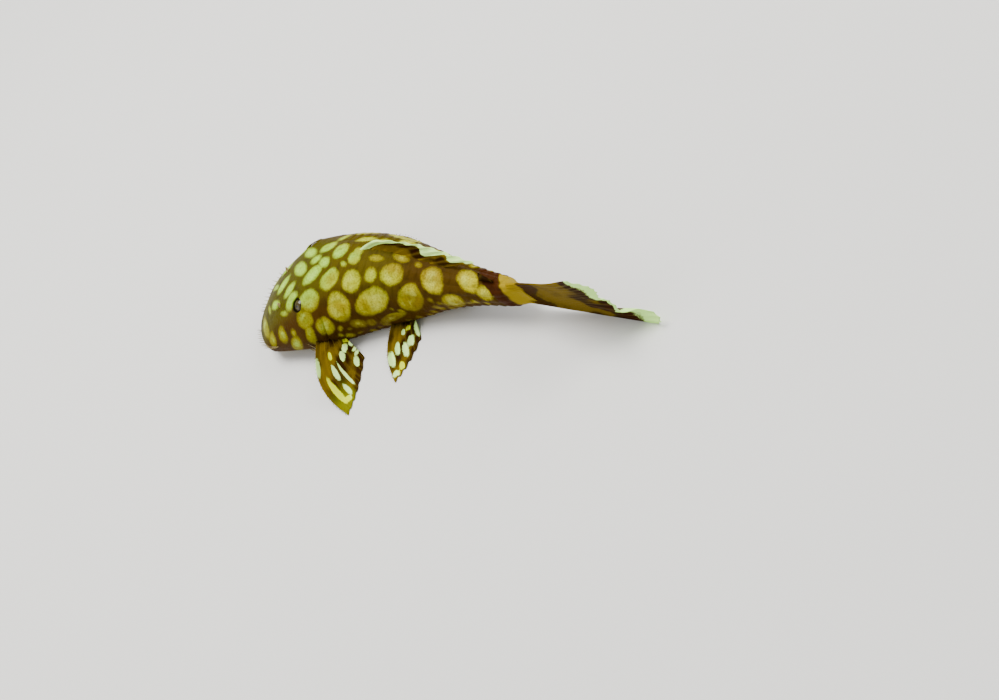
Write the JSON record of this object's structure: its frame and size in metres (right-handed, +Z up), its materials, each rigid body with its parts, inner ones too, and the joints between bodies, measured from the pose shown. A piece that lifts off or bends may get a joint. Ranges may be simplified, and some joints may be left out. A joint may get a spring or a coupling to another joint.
{
  "type": "bristlenose pleco model",
  "caption": "Life-size model of a young bristlenose pleco, an armoured sucker-mouth catfish, resting on its belly with fins spread and tail curved.",
  "frame": {"origin": "middle of the flat of the belly, on the floor the fish lies on", "axes": "-X to the snout, -Y to the fish's left, +Z up"},
  "size_m": [0.1005, 0.0406, 0.0162],
  "materials": {
    "spotted_skin": "satin, painted with pale round spots on a dark olive ground",
    "fin_skin": "satin, painted with pale dashes along the rays",
    "eye_glass": "polished",
    "lip_skin": "satin"
  },
  "bodies": {
    "root": {"head": "spotted_skin", "trunk": "spotted_skin", "tail": "spotted_skin", "tail_fin": "fin_skin", "dorsal_fin": "fin_skin", "adipose_fin": "fin_skin", "anal_fin": "fin_skin", "pectoral_fin_left": "fin_skin", "pectoral_fin_right": "fin_skin", "pelvic_fin_left": "fin_skin", "pelvic_fin_right": "fin_skin", "eye_left": "eye_glass", "eye_right": "eye_glass", "sucker_mouth": "lip_skin"}
  },
  "joints": []
}
